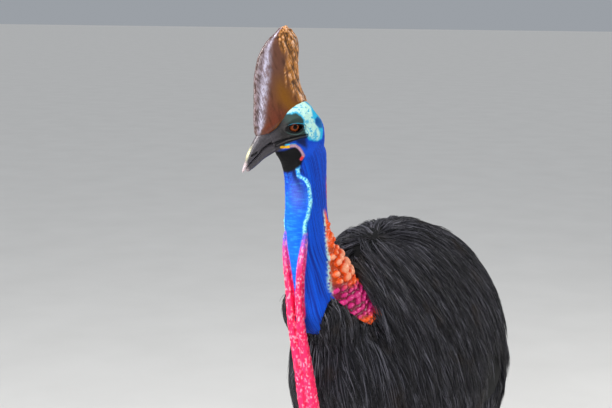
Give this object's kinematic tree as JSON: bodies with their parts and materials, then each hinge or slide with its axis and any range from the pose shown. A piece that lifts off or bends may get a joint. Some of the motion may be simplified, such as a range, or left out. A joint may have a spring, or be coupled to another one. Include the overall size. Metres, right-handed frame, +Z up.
{
  "type": "cassowary model",
  "caption": "Life-size still cassowary, standing, with tall casque, bare neck, hanging wattles and a coat of drooping plumes.",
  "frame": {"origin": "on the floor, under the middle of the whole bird's box", "axes": "+Z up, the bird faces -Y, and its left side is +X; its head is turned to its right"},
  "size_m": [0.46, 1.0662, 1.5012],
  "materials": {
    "plumage": "glossy black, hair-like plumes",
    "quill": "smooth black quills",
    "leg_scales": "dull grey-brown scales",
    "claw": "polished dark horn",
    "bill": "dark grey horn with a paler ridge and tip",
    "casque": "glossy brown horn, rough and orange-brown along its rear edge",
    "eye": "wet orange-brown iris with a dark pupil",
    "wattle_skin": "soft pink-red skin with pale beads",
    "head_skin": "pale turquoise skin, dark grey towards the bill",
    "neck_skin": "deep blue wrinkled skin",
    "caruncle_skin": "orange to magenta bulbs of skin"
  },
  "bodies": {
    "root": {"bill_lower": "bill", "bill_upper": "bill", "casque": "casque", "claw_inner_left": "claw", "claw_inner_right": "claw", "claw_middle_left": "claw", "claw_middle_right": "claw", "claw_outer_left": "claw", "claw_outer_right": "claw", "eye_left": "eye", "eye_right": "eye", "head": "head_skin", "neck_lower": "caruncle_skin", "neck_upper": "neck_skin", "shank_left": "leg_scales", "shank_right": "leg_scales", "tail": "plumage", "thigh_left": "plumage", "thigh_right": "plumage", "toe_inner_left": "leg_scales", "toe_inner_right": "leg_scales", "toe_middle_left": "leg_scales", "toe_middle_right": "leg_scales", "toe_outer_left": "leg_scales", "toe_outer_right": "leg_scales", "torso": "plumage", "wattle_left": "wattle_skin", "wattle_right": "wattle_skin", "wing_left": "quill", "wing_right": "quill"}
  },
  "joints": []
}
